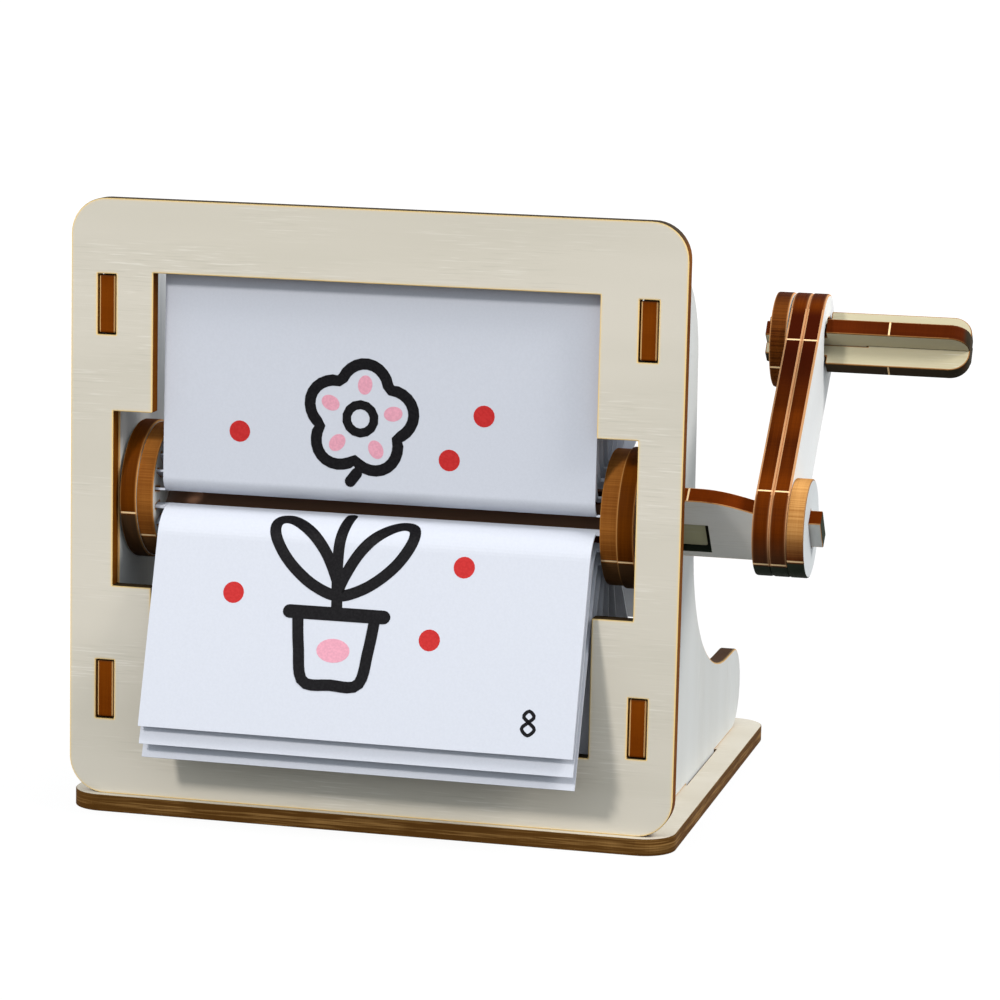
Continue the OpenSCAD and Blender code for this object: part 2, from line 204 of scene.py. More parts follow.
def makeLaserPly():
    # veneer on a sheet's two faces, burnt wood on its cut edges, a rim of its own colour on the corners
    tree, given, out = newGroup(
        "laserCutPly",
        [("Sheet Normal", "Vector", (0, 0, 1)), ("Grain", "Vector", (1, 0, 0)),
         ("Veneer", "Color", rgb(205, 199, 180)), ("Vein", "Color", rgb(190, 180, 158)),
         ("Toast", "Color", rgb(222, 196, 146)), ("Toasting", "Float", 0.15),
         ("Rim", "Color", rgb(205, 150, 96)), ("Dull Back", "Float", 0.0), ("Char", "Color", rgb(74, 30, 2)),
         ("Ember", "Color", rgb(104, 48, 8)), ("Striation", "Float", 0.05), ("Layers", "Float", 0.06),
         ("Soot", "Float", 0.0), ("Scorch", "Float", 0.0), ("Smoke", "Float", 0.0), ("Between Discs Shade", "Float", 0.0),
         ("Middle", "Float", 0.0),
         ("Near Edge", "Float", 0.0), ("Tab", "Float", 0.0), ("Seed", "Float", 0.0)],
        [("Color", "Color"), ("Roughness", "Float"), ("Height", "Float")])
    place, normal = textureSpace(tree, "Object"), textureSpace(tree, "Normal")
    sheetNormal, grain = given["Sheet Normal"], given["Grain"]
    across = vectorNode(tree, "CROSS_PRODUCT", grain, sheetNormal)
    turn = vectorNode(tree, "DOT_PRODUCT", normal, sheetNormal)
    facing = mathNode(tree, "ABSOLUTE", turn)
    u = vectorNode(tree, "DOT_PRODUCT", place, grain)
    v = vectorNode(tree, "DOT_PRODUCT", place, across)
    w = vectorNode(tree, "DOT_PRODUCT", place, sheetNormal)

    def grained(scales, detail, roughness):
        along, over = scales
        return noise(tree, combine(tree, mathNode(tree, "MULTIPLY", u, along),
                                   mathNode(tree, "MULTIPLY", v, over), given["Seed"]),
                     1.0, detail, roughness)

    # veneer: broad soft bands, and short fine streaks that come in clusters
    streaks = grained(wood["streaks"], 2.0, 0.5)
    clusters = ramp(tree, grained(wood["clusters"], 1.0, 0.5), 0.4, 0.64)
    bands = ramp(tree, grained(wood["bands"], 2.0, 0.5), 0.3, 0.75, 0.0, 0.6)
    veneer = mixColor(tree, bands, given["Veneer"], given["Vein"])
    dark = mathNode(tree, "MULTIPLY", ramp(tree, streaks, 0.44, 0.3), clusters)
    pale = mathNode(tree, "MULTIPLY", ramp(tree, streaks, 0.56, 0.7), clusters)
    veneer = mixColor(tree, mathNode(tree, "MULTIPLY", dark, 0.75), veneer, given["Vein"])
    veneer = mixColor(tree, mathNode(tree, "MULTIPLY", pale, 0.3), veneer, wood["paleStreak"])
    veneer = mixColor(tree, mathNode(tree, "MULTIPLY", given["Near Edge"], given["Toasting"]),
                      veneer, given["Toast"])

    # cut edge: striations run through the thickness, layers run along it
    inPlane = vectorNode(tree, "SUBTRACT", place, scaleVector(tree, sheetNormal, w))
    striation = noise(tree, inPlane, wood["striations"], 2.0, 0.6)
    smoulder = noise(tree, inPlane, wood["smoulder"], 2.0, 0.5)
    depth = mathNode(tree, "ABSOLUTE", mathNode(tree, "SUBTRACT", w, given["Middle"]))
    layer = ramp(tree, depth, *wood["core"])
    along, through = wood["threads"]
    threads = noise(tree, combine(tree, mathNode(tree, "MULTIPLY", u, along),
                                  mathNode(tree, "MULTIPLY", v, along),
                                  mathNode(tree, "MULTIPLY", w, through)), 1.0, 2.0, 0.5)
    heat = ramp(tree, smoulder, 0.25, 0.75, 0.05, 0.8)
    for pattern, amount in ((striation, given["Striation"]), (threads, given["Layers"])):
        heat = mathNode(tree, "ADD", heat, mathNode(
            tree, "MULTIPLY", ramp(tree, pattern, 0.3, 0.7, -1.0, 1.0), amount))
    heat = mathNode(tree, "SUBTRACT", heat, mathNode(tree, "MULTIPLY", layer, given["Layers"]), clamp=True)
    cut = mixColor(tree, heat, given["Char"], given["Ember"])
    cut = mixColor(tree, given["Tab"], cut, wood["tab"])
    behind = mathNode(tree, "MULTIPLY", ramp(tree, turn, 0.0, 0.1), given["Dull Back"])
    rim = mathNode(tree, "SUBTRACT", ramp(tree, facing, 0.15, 0.5), behind, clamp=True)
    cut = mixColor(tree, rim, cut, given["Rim"])
    # painted shade: a brown tint multiplied in above a tab
    cut = mixColor(tree, given["Smoke"], cut, wood["smoke"], "MULTIPLY")
    # painted shade: the cut edge turns dark green-black where it lies in shade
    cut = mixColor(tree, given["Scorch"], cut, wood["scorch"])
    upward = vectorNode(tree, "DOT_PRODUCT", normal, (0.0, 0.0, 1.0))
    # cut edges that face up are darkened
    cut = mixColor(tree, mathNode(tree, "MULTIPLY", ramp(tree, upward, 0.1, 0.8), given["Soot"]),
                   cut, wood["soot"])

    face = ramp(tree, facing, 0.94, 0.98)
    color = mixColor(tree, face, cut, veneer)
    # painted shade multiplied in where the axle lies between the discs
    feed(tree, out["Color"], mixColor(tree, given["Between Discs Shade"], color, wood["betweenDiscsShade"], "MULTIPLY"))
    feed(tree, out["Roughness"], mathNode(
        tree, "ADD", ramp(tree, face, 0.0, 1.0, 0.6, 0.5), ramp(tree, streaks, 0.3, 0.7, 0.0, 0.08)))
    edgeRelief = mathNode(tree, "MULTIPLY", mathNode(tree, "MULTIPLY", striation, given["Striation"]),
                          mathNode(tree, "SUBTRACT", 3.0, mathNode(tree, "MULTIPLY", face, 3.0)))
    faceRelief = mathNode(tree, "MULTIPLY", mathNode(tree, "MULTIPLY", streaks, 0.3), face)
    feed(tree, out["Height"], mathNode(tree, "ADD", edgeRelief, faceRelief))
    return tree


tabLine = makeTabLine()
laserCutPly = makeLaserPly()
print("stage: shared effects")


finish = {
    "toastReach": 1.2 * mm,
    "relief": 0.05 * mm,
    "bump": 0.35,
    "specular": 0.02,
    # how far above a tab the painted shade reaches
    "shadeReach": 6.5 * mm,
}
# capitalised entries are the inputs of laserCutPly; rounding is the width of the rounded corners,
# the other lower-case entries give the painted shade on the cut edges below the bottom tab, above it (dark,
# and as a brown tint) and along the lower edges, and far says how much more the cut edge is burnt toward the
# handle
veneers = {
    "panel": {"rounding": 0.2 * mm, "Veneer": rgb(210, 203, 189), "Vein": rgb(194, 188, 173),
              "Toast": rgb(236, 202, 130), "Toasting": 0.6, "Rim": rgb(236, 204, 140), "Dull Back": 1.0,
              "Char": rgb(92, 44, 4), "Ember": rgb(130, 76, 14), "Soot": 0.9},
    # the base's rounded corners are dark brown: painted shade of the contact shadow under the foot of the
    # front panel
    "base": {"rounding": 0.12 * mm, "Veneer": rgb(204, 197, 183), "Vein": rgb(191, 182, 164),
             "Toasting": 0.15, "Rim": rgb(96, 70, 38), "Char": rgb(84, 54, 20),
             "Ember": rgb(140, 104, 58), "Layers": 0.5},
    "side": {"rounding": 0.3 * mm, "Veneer": rgb(206, 207, 205), "Vein": rgb(193, 192, 187),
             "Rim": rgb(220, 176, 116), "Char": rgb(98, 42, 1), "Ember": rgb(130, 64, 6), "Soot": 0.8},
    "crank": {"rounding": 0.35 * mm, "Veneer": rgb(236, 237, 237), "Vein": rgb(226, 224, 220),
              "Rim": rgb(204, 152, 106), "Char": rgb(56, 18, 0), "Ember": rgb(112, 48, 1), "scorched": 1.0,
              "sooted": 0.42, "far": rgb(56, 13, 0)},
    "washer": {"rounding": 0.25 * mm, "Veneer": rgb(212, 215, 216), "Vein": rgb(202, 204, 203),
               "Toasting": 0.05, "Rim": rgb(150, 112, 76), "Char": rgb(140, 88, 36),
               "Ember": rgb(218, 164, 98), "Striation": 0.2, "scorched": 1.0,
               "smoked": 0.95, "sooted": 0.1},
    # painted shade: a washer like the crank's, with its cut edge made much darker for the shade that it
    # stands in
    "shadedStop": {"rounding": 0.25 * mm, "Veneer": rgb(224, 224, 222), "Vein": rgb(212, 209, 202),
             "Char": rgb(52, 18, 1), "Ember": rgb(106, 56, 16), "Striation": 0.3, "Layers": 0.03},
    "grip": {"rounding": 0.2 * mm, "Veneer": rgb(182, 174, 147), "Vein": rgb(168, 158, 130),
             "Rim": rgb(150, 104, 58), "Char": rgb(66, 21, 1), "Ember": rgb(96, 38, 5), "burntEnd": 0.8},
    "axle": {"rounding": 0.15 * mm, "Veneer": rgb(222, 222, 219), "Vein": rgb(206, 204, 198),
             "Char": rgb(78, 27, 0), "Ember": rgb(110, 43, 1)},
    "flange": {"rounding": 0.25 * mm, "Veneer": rgb(204, 202, 196), "Vein": rgb(188, 184, 174),
               "Toast": rgb(176, 122, 68), "Toasting": 0.9,
               "Rim": rgb(196, 140, 78), "Char": rgb(66, 28, 1), "Ember": rgb(112, 56, 3), "scorched": 0.55},
    "cardDisc": {"rounding": 0.2 * mm, "Veneer": rgb(204, 202, 196), "Vein": rgb(188, 184, 174),
                 "Toast": rgb(176, 122, 68), "Toasting": 0.9,
                 "Rim": rgb(180, 124, 64), "Char": rgb(98, 50, 11), "Ember": rgb(164, 104, 44),
                 "Striation": 0.15, "Layers": 0.03, "scorched": 0.6},
    # painted shade: darker olive than the axle, for the recess that the key sits in, and a near-black rim
    # that paints the dark gap round it
    "key": {"rounding": 0.4 * mm, "Veneer": rgb(182, 180, 150), "Vein": rgb(160, 157, 126),
            "Rim": rgb(26, 22, 14), "Char": rgb(52, 42, 26), "Ember": rgb(84, 72, 48)},
}


def turned(angle, y, z):
    # a direction in a frame that leans back by angle about X
    a = math.radians(angle)
    return (0.0, y * math.cos(a) + z * math.sin(a), z * math.cos(a) - y * math.sin(a))


crankUp = turned(axle["crankAngle"], 0, 1)
crankSide = turned(axle["crankAngle"], 1, 0)
gripUp = turned(axle["handleAngle"], 0, 1)
gripSide = turned(axle["handleAngle"], 1, 0)
acrossX, acrossY, acrossZ = (1.0, 0.0, 0.0), (0.0, 1.0, 0.0), (0.0, 0.0, 1.0)

# node: veneer, sheet normal, grain, tab lines as (direction, offset from the axle in mm)
plyPieces = {
    "base_plate": ("base", acrossZ, acrossX, []),
    "front_panel": ("panel", acrossY, acrossX, []),
    "left_side_panel": ("side", acrossX, acrossZ, []),
    "right_side_panel": ("side", acrossX, acrossZ, []),
    "axle_plate": ("axle", crankUp, acrossX, [(acrossX, 54.4)]),
    "axle_cross_plate": ("axle", crankSide, acrossX, []),
    "axle_key": ("key", crankUp, acrossX, []),
    "left_inner_disc": ("cardDisc", acrossX, crankUp, [(acrossZ, -6.9)]),
    "right_inner_disc": ("cardDisc", acrossX, crankUp, [(acrossZ, -6.1)]),
    "left_outer_disc": ("flange", acrossX, crankUp, [(acrossZ, -2.7)]),
    "right_outer_disc": ("flange", acrossX, crankUp, [(acrossZ, -6.1)]),
    "left_end_washer": ("washer", acrossX, crankUp, [(acrossZ, -5.0)]),
    "crank_arm_inner": ("crank", acrossX, crankUp, [(crankUp, 35.6), (crankUp, 0.9), (acrossZ, -5.6)]),
    "crank_arm_outer": ("crank", acrossX, crankUp, [(crankUp, 35.6), (crankUp, 0.9), (acrossZ, -5.6)]),
    "crank_washer": ("washer", acrossX, crankUp, [(acrossZ, -4.7)]),
    "handle_plate": ("grip", gripSide, acrossX, [(acrossX, 83.8)]),
    "handle_cross_plate": ("grip", gripUp, acrossX, [(acrossX, 83.8)]),
    "handle_washer": ("shadedStop", acrossX, crankUp, [(acrossZ, 24.6)]),
}


keySlot = {"middle": 53.9 * mm, "side": 2.8 * mm, "length": 8 * mm, "width": 8.4 * mm}
shadedAxleLength = 84 * mm        # the length between the discs
axleCentre = Vector((0, axle["y"], axle["z"]))
armBurn = {"from": 16 * mm, "full": 33 * mm, "fade": 41 * mm, "end": 45 * mm}   # along the crank arm


def tabMask(tree, tabs):
    mask = None
    for direction, offset in tabs:
        line = placeGroup(tree, tabLine, {
            "Direction": direction, "Offset": offset * mm + axleCentre.dot(Vector(direction))})["Mask"]
        mask = line if mask is None else mathNode(tree, "MAXIMUM", mask, line)
    return mask


def burnAxlePlate(tree, values):
    # the walls of the key's slot are painted black as the shade of a recess and have no tab, and the end in
    # the crank is darkened as painted shade
    slot = placeGroup(tree, tabLine, {
        "Direction": crankSide, "Width": keySlot["width"],
        "Offset": axleCentre.dot(Vector(crankSide)) + keySlot["side"]})["Mask"]
    slot = mathNode(tree, "MULTIPLY", slot, placeGroup(tree, tabLine, {
        "Direction": acrossX, "Width": keySlot["length"], "Offset": keySlot["middle"]})["Mask"])
    end = ramp(tree, vectorNode(tree, "DOT_PRODUCT", textureSpace(tree, "Normal"), acrossX), 0.6, 0.9)
    values["Tab"] = mathNode(tree, "SUBTRACT", values["Tab"], slot, clamp=True)
    values["Scorch"] = mathNode(tree, "MAXIMUM", slot, end)


def burnRoundEnd(tree, values, look, tabHeight):
    # painted shade: darker below the tab at the bottom, and shaded softly toward it from above
    height = vectorNode(tree, "DOT_PRODUCT", textureSpace(tree, "Object"), acrossZ)
    below = ramp(tree, height, tabHeight - 0.5 * mm, tabHeight - 0.2 * mm, look["scorched"], 0.0)
    above = ramp(tree, height, tabHeight, tabHeight + finish["shadeReach"], 1.0, 0.0)
    above = mathNode(tree, "SUBTRACT", above, values["Tab"], clamp=True)
    values["Smoke"] = mathNode(tree, "MULTIPLY", above, look.get("smoked", 0.0))
    values["Scorch"] = mathNode(
        tree, "MAXIMUM", below, mathNode(tree, "MULTIPLY", above, look.get("sooted", 0.0)))


def burnTowardHandle(tree, values, look):
    # darker toward the handle, but not at the very end
    along = vectorNode(tree, "DOT_PRODUCT", textureSpace(tree, "Object"), crankUp)
    along = mathNode(tree, "SUBTRACT", along, axleCentre.dot(Vector(crankUp)))
    far = mathNode(tree, "MULTIPLY", ramp(tree, along, armBurn["from"], armBurn["full"]),
                   ramp(tree, along, armBurn["fade"], armBurn["end"], 1.0, 0.0))
    for label in ("Char", "Ember"):
        values[label] = mixColor(tree, far, look[label], look["far"])


def burnLowEdges(tree, values, amount):
    # painted shade along the lower edges, and darker at both ends, but not on the tab
    normal = textureSpace(tree, "Normal")
    below = ramp(tree, vectorNode(tree, "DOT_PRODUCT", normal, (0.0, 0.0, -1.0)), 0.3, 0.6)
    endways = mathNode(tree, "ABSOLUTE", vectorNode(tree, "DOT_PRODUCT", normal, acrossX))
    lowShade = mathNode(tree, "MAXIMUM", below, ramp(tree, endways, 0.6, 0.9))
    lowShade = mathNode(tree, "SUBTRACT", lowShade, values["Tab"], clamp=True)
    values["Scorch"] = mathNode(tree, "MULTIPLY", lowShade, amount)


def makePlyMaterial(name, veneer, sheetNormal, grain, tabs, middle, seed):
    material, tree, shader = newMaterial(name)
    bevel = tree.nodes.new("ShaderNodeBevel")
    bevel.samples = 6
    bevel.inputs["Radius"].default_value = finish["toastReach"]
    flat = tree.nodes.new("ShaderNodeNewGeometry").outputs["Normal"]
    bend = vectorNode(tree, "DOT_PRODUCT", bevel.outputs[0], flat)
    look = veneers[veneer]
    values = {label: value for label, value in look.items() if label[0].isupper()}
    values.update({"Sheet Normal": sheetNormal, "Grain": grain, "Middle": middle, "Seed": seed,
                   "Near Edge": ramp(tree, bend, 0.8, 0.985, 1.0, 0.0)})
    if tabs:
        values["Tab"] = tabMask(tree, tabs)
    # painted shade in the key's slot and on the axle's end
    if name == "axle_platePly":
        burnAxlePlate(tree, values)
    # painted shade on the cut edges about the bottom tab
    if "scorched" in look:
        burnRoundEnd(tree, values, look, axleCentre.z + tabs[-1][1] * mm)
    if "far" in look:
        burnTowardHandle(tree, values, look)
    # painted shade on the grip's lower edges
    if "burntEnd" in look:
        burnLowEdges(tree, values, look["burntEnd"])
    if veneer == "axle":
        # painted shade: darker brown between the discs
        values["Between Discs Shade"] = placeGroup(tree, tabLine, {"Direction": acrossX, "Width": shadedAxleLength})["Mask"]
    ply = placeGroup(tree, laserCutPly, values)
    bump = tree.nodes.new("ShaderNodeBump")
    bump.inputs["Strength"].default_value = finish["bump"]
    bump.inputs["Distance"].default_value = finish["relief"]
    feed(tree, bump.inputs["Height"], ply["Height"])
    shader.inputs["Specular IOR Level"].default_value = finish["specular"]
    feed(tree, shader.inputs["Base Color"], ply["Color"])
    feed(tree, shader.inputs["Roughness"], ply["Roughness"])
    feed(tree, shader.inputs["Normal"], bump.outputs[0])
    return material


def dressPly():
    for seed, (name, (veneer, sheetNormal, grain, tabs)) in enumerate(plyPieces.items()):
        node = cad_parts[name]
        low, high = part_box(name)
        middle = ((low + high) / 2).dot(Vector(sheetNormal))
        if name in ("axle_plate", "axle_cross_plate", "axle_key"):
            middle = axleCentre.dot(Vector(sheetNormal))
        node.data.materials.clear()
        node.data.materials.append(makePlyMaterial(
            name + "Ply", veneer, sheetNormal, grain, tabs, middle, seed * 3.7))
        weld = node.modifiers.new("weld", "WELD")
        weld.merge_threshold = 0.002 * mm
        flatten = node.modifiers.new("whole faces", "DECIMATE")
        flatten.decimate_type = "DISSOLVE"
        flatten.angle_limit = math.radians(0.4)
        rounding = node.modifiers.new("cut corners", "BEVEL")
        rounding.width = veneers[veneer]["rounding"]
        rounding.segments = 2
        rounding.use_clamp_overlap = False
        rounding.limit_method = "ANGLE"
        rounding.angle_limit = math.radians(40)


dressPly()
print("stage: plywood")


cards = {
    "count": 20,
    "width": 78 * mm,
    "play": 0.4 * mm,        # the cards stand this far over toward the crank
    "thickness": 0.4 * mm,
    "rootRadius": 8.2 * mm,
    "rootStraight": 1.0 * mm,
    "reach": 50.2 * mm,
    "earReach": 10.4 * mm,
    "earEnd": 42.8 * mm,
    "earGap": 0.05 * mm,
    "held": 4,               # upright behind the window's top bar
    "heldSpacing": 0.7 * mm,
    "heldGap": 0.35 * mm,
    "heldLean": 1,
    "heldStep": 4 * mm,      # each one farther back is held this much nearer its root
    "heldPress": 0.1 * mm,   # and all are pressed this far toward the bar
    "hanging": 3,            # fallen, in front of the panel
    "hangAngle": 73,
    "hangFan": 1.5,          # each card behind the front one hangs less steeply
    "hangBend": 7 * mm,
    "rearSag": 6,            # a free card behind the axle sinks at most this much
    "rearBend": 2 * mm,
    "trailingGap": 1.2 * mm,  # the one drawn back behind the sill
    "firstFrame": 8,         # number of the picture that the window shows
    "bendSteps": 12,
    "flatSteps": 6,
    "columns": 8,
}
cards["free"] = cards["reach"] - cards["rootRadius"] - cards["rootStraight"]


def cardAngle(i):
    return 360 / cards["count"] * (i + 0.5)


def towards(degrees):
    a = math.radians(degrees)
    return Vector((-math.cos(a), math.sin(a)))


def cardRoot(i, radius):
    return Vector((axle["y"], axle["z"])) + radius * towards(cardAngle(i))


def cardBend(i):
    # start angle, end angle and length of the bend
    a, n = cardAngle(i), cards["count"]
    root = cardRoot(i, cards["rootRadius"] + cards["rootStraight"])

    def bendTo(y, start, end):
        s, e = math.radians(start), math.radians(end)
        return (root[0] - y) * (e - s) / (math.sin(e) - math.sin(s))

    if i < cards["held"]:
        lean = math.sin(math.radians(cards["heldLean"]))
        y = panelBackY + cards["heldGap"] + cards["thickness"] / 2 + i * cards["heldSpacing"]
        y -= (cards["free"] - i * cards["heldStep"]) * lean + cards["heldPress"]
        return a, 90 + cards["heldLean"], bendTo(y, a, 90 + cards["heldLean"])
    if i >= n - cards["hanging"]:
        return a - 360, (n - 1 - i) * cards["hangFan"] - cards["hangAngle"], cards["hangBend"]
    if i == n - cards["hanging"] - 1:
        return a - 360, -90, bendTo(panelBackY + cards["trailingGap"], 360 - a, 90)
    return a, a + cards["rearSag"] * max(0, -math.cos(math.radians(a))), cards["rearBend"]


def cardPoint(i, s):
    # place and heading on a card's centre line, s metres from where it leaves the discs
    a, b, length = cardBend(i)
    start = cardRoot(i, cards["rootRadius"] + cards["rootStraight"])
    first = math.radians(a)
    if abs(b - a) < 0.01 or s <= 0:
        return start + s * towards(a), a
    rate = math.radians(b - a) / length
    now = first + rate * min(s, length)
    bent = Vector((-(math.sin(now) - math.sin(first)) / rate, (math.cos(first) - math.cos(now)) / rate))
    heading = math.degrees(now)
    return start + bent + max(0, s - length) * towards(heading), heading


def onCard(i, x, s, lift):
    # lift is measured from the centre line towards the side that faces the viewer when upright
    place, heading = cardPoint(i, s)
    ahead = towards(heading)
    return Vector((x + cards["play"], place[0] - ahead[1] * lift, place[1] + ahead[0] * lift))


def addGrid(mesh, rows, material):
    # rows of corners for the top and for the bottom, closed all round
    top = [[mesh.verts.new(p) for p in row[0]] for row in rows]
    low = [[mesh.verts.new(p) for p in row[1]] for row in rows]
    m, n = len(top), len(top[0])
    faces = []
    for r in range(m - 1):
        for c in range(n - 1):
            faces.append((top[r][c], top[r + 1][c], top[r + 1][c + 1], top[r][c + 1]))
            faces.append((low[r][c], low[r][c + 1], low[r + 1][c + 1], low[r + 1][c]))
        faces.append((top[r][0], low[r][0], low[r + 1][0], top[r + 1][0]))
        faces.append((top[r][-1], top[r + 1][-1], low[r + 1][-1], low[r][-1]))
    for c in range(n - 1):
        faces.append((top[0][c], top[0][c + 1], low[0][c + 1], low[0][c]))
        faces.append((top[-1][c], low[-1][c], low[-1][c + 1], top[-1][c + 1]))
    for corners in faces:
        mesh.faces.new(corners).material_index = material


ink = {
    "lift": 0.03 * mm,
    "layer": 0.012 * mm,     # a line drawn over another lies this much higher
    "line": 2.0 * mm,
    "fineLine": 0.62 * mm,
    "step": 1.1 * mm,
    "fineStep": 0.4 * mm,    # for thin lines, and where the card bends
    "speckle": 2500.0,
    "roughness": 0.5,
    "specular": 0.06,
}
inkSlots = {"black": 1, "pink": 2, "red": 3}

digitShapes = {
    "0": [(0.3, 1), (0.02, 0.75), (0.02, 0.25), (0.3, 0), (0.58, 0.25), (0.58, 0.75), (0.3, 1)],
    "1": [(0.12, 0.8), (0.36, 1), (0.36, 0.5), (0.36, 0)],
    "2": [(0.04, 0.76), (0.3, 1), (0.55, 0.75), (0.3, 0.35), (0.04, 0.0), (0.3, 0.0), (0.58, 0.0)],
    "3": [(0.05, 0.9), (0.32, 1), (0.52, 0.76), (0.28, 0.53), (0.56, 0.28), (0.3, 0), (0.03, 0.12)],
    "4": [(0.42, 0), (0.42, 0.5), (0.42, 1), (0.2, 0.62), (0.0, 0.28), (0.3, 0.28), (0.6, 0.28)],
    "5": [(0.52, 1), (0.12, 1), (0.08, 0.56), (0.34, 0.62), (0.56, 0.32), (0.32, 0), (0.03, 0.1)],
    "6": [(0.5, 0.96), (0.14, 0.66), (0.03, 0.26), (0.3, 0), (0.56, 0.28), (0.32, 0.58), (0.06, 0.36)],
    "7": [(0.03, 1), (0.3, 1), (0.56, 1), (0.36, 0.5), (0.2, 0)],
    "8": [(0.3, 1), (0.08, 0.77), (0.3, 0.54), (0.57, 0.27), (0.3, 0), (0.03, 0.27), (0.3, 0.54),
          (0.52, 0.77), (0.3, 1)],
    "9": [(0.54, 0.64), (0.28, 0.42), (0.04, 0.72), (0.3, 1), (0.57, 0.74), (0.46, 0.34), (0.1, 0.04)],
}


def smoothLine(points, step, closed=False):
    # evenly spaced points on a smooth curve through the given ones
    pts = [Vector(p) for p in points]
    if closed:
        ends = [pts[-2]] + pts + [pts[1]]
    else:
        ends = [2 * pts[0] - pts[1]] + pts + [2 * pts[-1] - pts[-2]]
    fine = []
    for k in range(1, len(ends) - 2):
        p0, p1, p2, p3 = ends[k - 1:k + 3]
        for j in range(12):
            t = j / 12
            fine.append(0.5 * (2 * p1 + (p2 - p0) * t + (2 * p0 - 5 * p1 + 4 * p2 - p3) * t * t
                               + (3 * p1 - p0 - 3 * p2 + p3) * t ** 3))
    fine.append(pts[-1])
    length = sum((b - a).length for a, b in zip(fine, fine[1:]))
    count = max(4, round(length / step))
    result, gone, k = [fine[0]], 0.0, 0
    for j in range(1, count):
        want = length * j / count
        while gone + (fine[k + 1] - fine[k]).length < want:
            gone += (fine[k + 1] - fine[k]).length
            k += 1
        span = fine[k + 1] - fine[k]
        result.append(fine[k] + span * ((want - gone) / span.length))
    result.append(fine[-1])
    return result


def inkLine(mesh, place, points, width, closed=False, layer=0, fine=False):
    # a printed line: a low ridge with round ends
    line = smoothLine(points, ink["fineStep"] if fine or width < 1 * mm else ink["step"], closed)
    lift = ink["lift"] + layer * ink["layer"]
    rows = []
    stations = [(p, 1.0) for p in line]
    if not closed:
        startWay, endWay = (line[0] - line[1]).normalized(), (line[-1] - line[-2]).normalized()
        caps = ((0.98, 0.2), (0.8, 0.6), (0.45, 0.9))
        head = [(line[0] + startWay * width / 2 * reach, part) for reach, part in caps]
        tail = [(line[-1] + endWay * width / 2 * reach, part) for reach, part in reversed(caps)]
        stations = head + stations + tail
    for k, (point, part) in enumerate(stations):
        before = stations[max(0, k - 1)][0]
        after = stations[min(len(stations) - 1, k + 1)][0]
        if closed and k in (0, len(stations) - 1):
            before, after = line[-2], line[1]
        way = (after - before).normalized()
        side = Vector((-way[1], way[0])) * width / 2 * part
        across = [point + side * f for f in (-1, -0.35, 0.35, 1)]
        rows.append(([place(p, lift) for p in across], [place(p, -ink["lift"]) for p in across]))
    addGrid(mesh, rows, inkSlots["black"])


def inkSpot(mesh, place, centre, rx, ry, material, tilt=0.0):
    # a printed filled oval
    rings, around = max(2, round(max(rx, ry) / (0.8 * mm))), 20
    turn = Matrix.Rotation(math.radians(tilt), 2)
    layers = []
    for lift in (ink["lift"] * 0.6, -ink["lift"]):
        middle = mesh.verts.new(place(Vector(centre), lift))
        circles = []
        for ring in range(1, rings + 1):
            part = ring / rings
            circles.append([mesh.verts.new(place(Vector(centre) + turn @ Vector((
                rx * part * math.cos(2 * math.pi * k / around),
                ry * part * math.sin(2 * math.pi * k / around))), lift)) for k in range(around)])
        layers.append((middle, circles))
    faces = []
    for flip, (middle, circles) in zip((False, True), layers):
        for k in range(around):
            j = (k + 1) % around
            corners = [(middle, circles[0][k], circles[0][j])]
            corners += [(a[k], b[k], b[j], a[j]) for a, b in zip(circles, circles[1:])]
            faces += [tuple(reversed(c)) if flip else c for c in corners]
    (_, above), (_, below) = layers
    for k in range(around):
        j = (k + 1) % around
        faces.append((above[-1][k], below[-1][k], below[-1][j], above[-1][j]))
    for corners in faces:
        mesh.faces.new(corners).material_index = inkSlots[material]


flower = {
    "x": -5 * mm,          # middle of the pot
    "sway": 3.2 * mm,
    "bloomHeight": 15.5 * mm,
    "bloomRadius": 7.4 * mm,
    "petal": 2.3 * mm,
    "lean": 12,            # degrees that the bloom turns from card to card
    "eye": 2.5 * mm,
    "spotRing": 6.0 * mm,  # pink spots on the petals
    "spot": (1.3 * mm, 1.7 * mm),
    "potSpot": (3.0 * mm, 2.1 * mm),
    "dot": 1.9 * mm,       # red dots round the flower, which drift from card to card
    "drift": 1.2 * mm,
    "upperDots": ((13, 6), (19, 14), (-25, 9)),
    "lowerDots": ((17, -13), (-24, -20), (12, -26)),
    # a leaf as (out, up, how much it sways), in mm
    "leaf": ((0, -15.5, 0), (4.6, -14.7, 1), (9.4, -11.3, 2), (12.3, -7.3, 3), (12.2, -4.5, 3),
             (9.6, -4.1, 3), (5.2, -6.6, 2), (2.0, -10.4, 1), (0, -15.5, 0)),
    "potTop": -19 * mm,
    "potFoot": -31 * mm,
}


pageNumber = {"corner": Vector((29.5 * mm, -37.5 * mm)), "pitch": 3.2 * mm, "height": 4.2 * mm}


def swing(number):
    # from -1 to 1 and back once over all the cards
    return math.sin(2 * math.pi * number / cards["count"])


def bloomPlace(number):
    return Vector((flower["x"] + flower["sway"] * swing(number),
                   flower["bloomHeight"] + 0.8 * mm * swing(number)))


def redDots(mesh, place, number, dots):
    drift = (number % 5) * flower["drift"]
    for x, y in dots:
        inkSpot(mesh, place, Vector((x * mm, y * mm + drift)), flower["dot"], flower["dot"], "red")


